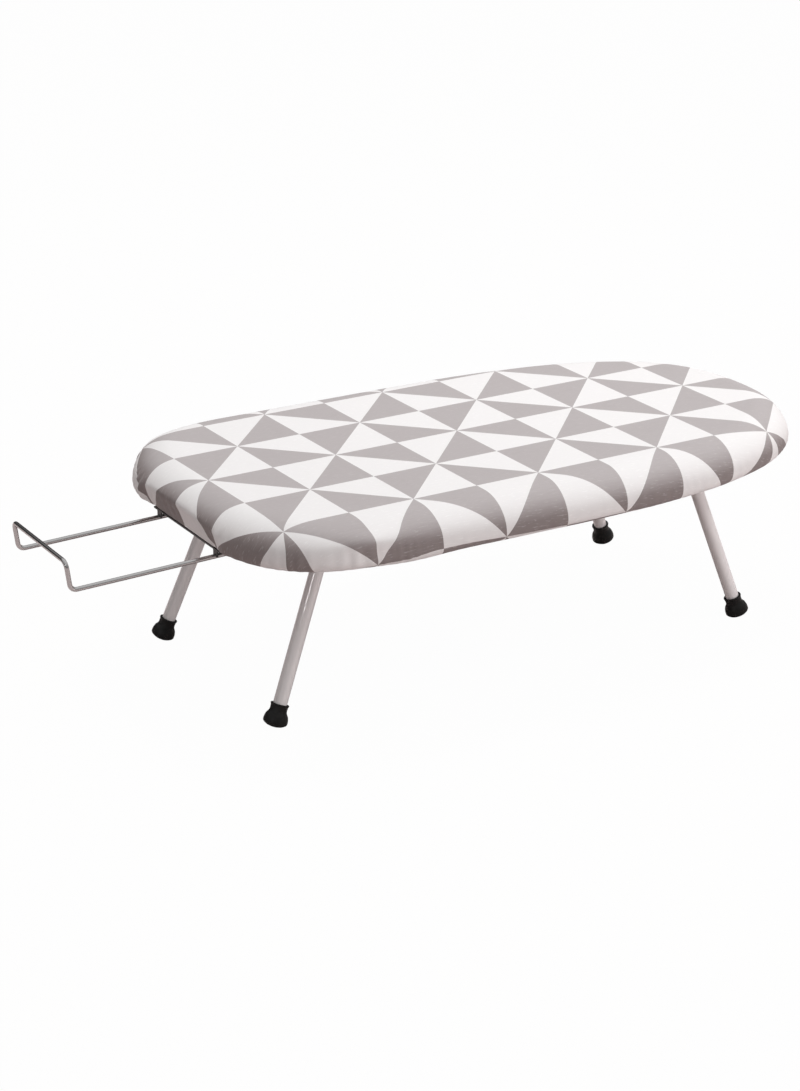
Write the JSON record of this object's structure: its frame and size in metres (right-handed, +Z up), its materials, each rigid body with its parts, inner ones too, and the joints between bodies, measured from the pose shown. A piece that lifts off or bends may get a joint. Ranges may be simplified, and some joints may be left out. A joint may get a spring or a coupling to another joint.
{
  "type": "travel ironing board",
  "caption": "Low padded ironing board with a rounded nose, folding tube legs on rubber feet and a sliding wire iron rest.",
  "frame": {"origin": "on the floor, under the middle of the box that the open board with its drawn-out rest fills", "axes": "+X along the board towards its nose, +Y across it, +Z up"},
  "size_m": [0.7199, 0.342, 0.181],
  "materials": {
    "cover_cotton": "printed cotton",
    "felt": "felt underlay",
    "elastic": "woven elastic cord",
    "frame_paint": "grey powder coat",
    "leg_paint": "grey gloss paint",
    "carrier_paint": "black paint",
    "wire_chrome": "bright chrome",
    "rivet_steel": "zinc plated",
    "foot_rubber": "moulded rubber"
  },
  "bodies": {
    "board": {"cover": "cover_cotton", "felt_pad": "felt", "hem_cord": "elastic", "mesh_top": "frame_paint", "rim_frame": "frame_paint", "heel_rail": "frame_paint", "nose_rail": "frame_paint", "rest_carrier": "carrier_paint", "heel_back_saddle": "frame_paint", "heel_front_saddle": "frame_paint", "nose_back_saddle": "frame_paint", "nose_front_saddle": "frame_paint", "heel_back_saddle_rivet_1": "rivet_steel", "heel_back_saddle_rivet_2": "rivet_steel", "heel_front_saddle_rivet_1": "rivet_steel", "heel_front_saddle_rivet_2": "rivet_steel", "nose_back_saddle_rivet_1": "rivet_steel", "nose_back_saddle_rivet_2": "rivet_steel", "nose_front_saddle_rivet_1": "rivet_steel", "nose_front_saddle_rivet_2": "rivet_steel", "carrier_rivet_1": "rivet_steel", "carrier_rivet_2": "rivet_steel"},
    "heel_legs": {"heel_leg_tube": "leg_paint", "heel_back_foot": "foot_rubber", "heel_front_foot": "foot_rubber"},
    "nose_legs": {"nose_leg_tube": "leg_paint", "nose_back_foot": "foot_rubber", "nose_front_foot": "foot_rubber"},
    "rest": {"iron_rest": "wire_chrome"}
  },
  "joints": [
    {"name": "heel_leg_fold", "type": "hinge", "parent": "board", "child": "heel_legs", "pos_m": [-0.14061, 0, 0.1561], "axis": [0, -1, 0], "range_deg": [0, 111.5]},
    {"name": "nose_leg_fold", "type": "hinge", "parent": "board", "child": "nose_legs", "pos_m": [0.21947, 0, 0.1561], "axis": [0, 1, 0], "range_deg": [0, 108]},
    {"name": "rest_slide", "type": "slide", "parent": "board", "child": "rest", "axis": [0.9996, 0, 0.0297], "range_m": [0, 0.105]}
  ]
}
